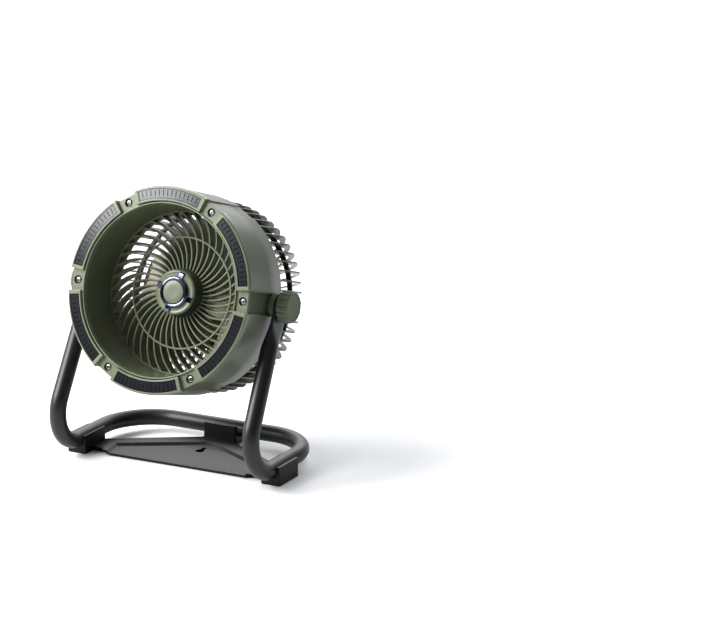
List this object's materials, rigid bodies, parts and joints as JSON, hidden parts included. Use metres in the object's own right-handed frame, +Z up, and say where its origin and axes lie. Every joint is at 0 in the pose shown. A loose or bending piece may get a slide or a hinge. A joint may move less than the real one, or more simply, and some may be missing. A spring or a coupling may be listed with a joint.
{
  "type": "portable air circulator fan",
  "caption": "Round drum-shaped portable air circulator with a ring of light windows, tilting between clamp knobs on a bent-tube stand that also forms its base.",
  "frame": {"origin": "on the floor, under the middle of the object's box", "axes": "the blowing face looks along -Y, +X is to the right of someone facing it, +Z is up"},
  "size_m": [0.2552, 0.1856, 0.2953],
  "materials": {
    "sage_plastic": "satin moulded, fine grain",
    "vane_plastic": "satin moulded",
    "drum_plastic": "satin moulded, fine grain",
    "window_plastic": "smoked, polished",
    "bright_trim": "polished plating",
    "blade_plastic": "satin moulded",
    "black_paint": "fine textured powder coat",
    "black_plastic": "matt moulded",
    "pad_rubber": "matt",
    "steel": "bright zinc",
    "brass": "turned",
    "copper": "enamelled winding wire",
    "magnet": "sintered",
    "cast_metal": "die cast",
    "board": "coated board",
    "cell_wrap": "shrink sleeve",
    "light_pipe": "clear moulded"
  },
  "bodies": {
    "stand": {"stand_tube": "black_paint", "base_plate": "black_paint", "foot_block_left": "black_plastic", "foot_block_right": "black_plastic", "foot_block_rear": "black_plastic", "foot_pads": "pad_rubber", "foot_screws": "steel"},
    "head": {"battery_cell_lower": "cell_wrap", "battery_cell_upper": "cell_wrap", "battery_holder": "black_plastic", "bezel_screws": "steel", "cage_rear_ring": "black_plastic", "cage_screws": "steel", "cage_side_ring": "black_plastic", "control_board": "board", "cover_screws": "steel", "drum_shell": "drum_plastic", "front_bezel": "sage_plastic", "front_duct": "drum_plastic", "front_grille": "vane_plastic", "hub_cap": "sage_plastic", "hub_cone": "drum_plastic", "hub_screws": "steel", "hub_trim": "bright_trim", "indicator_lights": "light_pipe", "led_boards": "board", "led_lead": "pad_rubber", "led_window_1": "window_plastic", "led_window_2": "window_plastic", "led_window_3": "window_plastic", "led_window_4": "window_plastic", "led_window_5": "window_plastic", "led_window_6": "window_plastic", "motor_base": "cast_metal", "motor_bearings": "steel", "motor_screws": "steel", "pivot_insert_left": "brass", "pivot_insert_right": "brass", "pivot_spacer_left": "drum_plastic", "pivot_spacer_right": "drum_plastic", "pod_cover": "drum_plastic", "pod_housing": "drum_plastic", "rear_cage": "drum_plastic", "stator_coils": "copper", "stator_core": "steel", "tact_switches": "black_plastic", "usb_socket": "steel"},
    "impeller": {"impeller": "blade_plastic", "rotor_can": "steel", "rotor_magnets": "magnet", "motor_shaft": "steel", "shaft_clip": "steel"},
    "right_knob": {"clamp_knob_right": "sage_plastic", "clamp_bolt_right": "steel"},
    "left_knob": {"clamp_knob_left": "sage_plastic", "clamp_bolt_left": "steel"},
    "power_button": {"power_button": "drum_plastic"},
    "light_button": {"light_button": "drum_plastic"}
  },
  "joints": [
    {"name": "head_tilt", "type": "hinge", "parent": "stand", "child": "head", "pos_m": [0, -0.01175, 0.1794], "axis": [1, 0, 0], "range_deg": [-73.6, 32]},
    {"name": "impeller_spin", "type": "hinge", "parent": "head", "child": "impeller", "pos_m": [0, -0.01175, 0.1794], "axis": [0, 0.9595, -0.2817], "continuous": true},
    {"name": "right_knob_turn", "type": "hinge", "parent": "head", "child": "right_knob", "pos_m": [0.1215, -0.01175, 0.1794], "axis": [1, 0, 0], "range_deg": [0, 270]},
    {"name": "left_knob_turn", "type": "hinge", "parent": "head", "child": "left_knob", "pos_m": [-0.1215, -0.01175, 0.1794], "axis": [-1, 0, 0], "range_deg": [0, 270]},
    {"name": "power_press", "type": "slide", "parent": "head", "child": "power_button", "axis": [0, -0.9595, 0.2817], "range_m": [0, 0.0012], "stiffness_N_per_m": 1500, "springref_m": -0.0004},
    {"name": "light_press", "type": "slide", "parent": "head", "child": "light_button", "axis": [0, -0.9595, 0.2817], "range_m": [0, 0.0012], "stiffness_N_per_m": 1500, "springref_m": -0.0004}
  ]
}
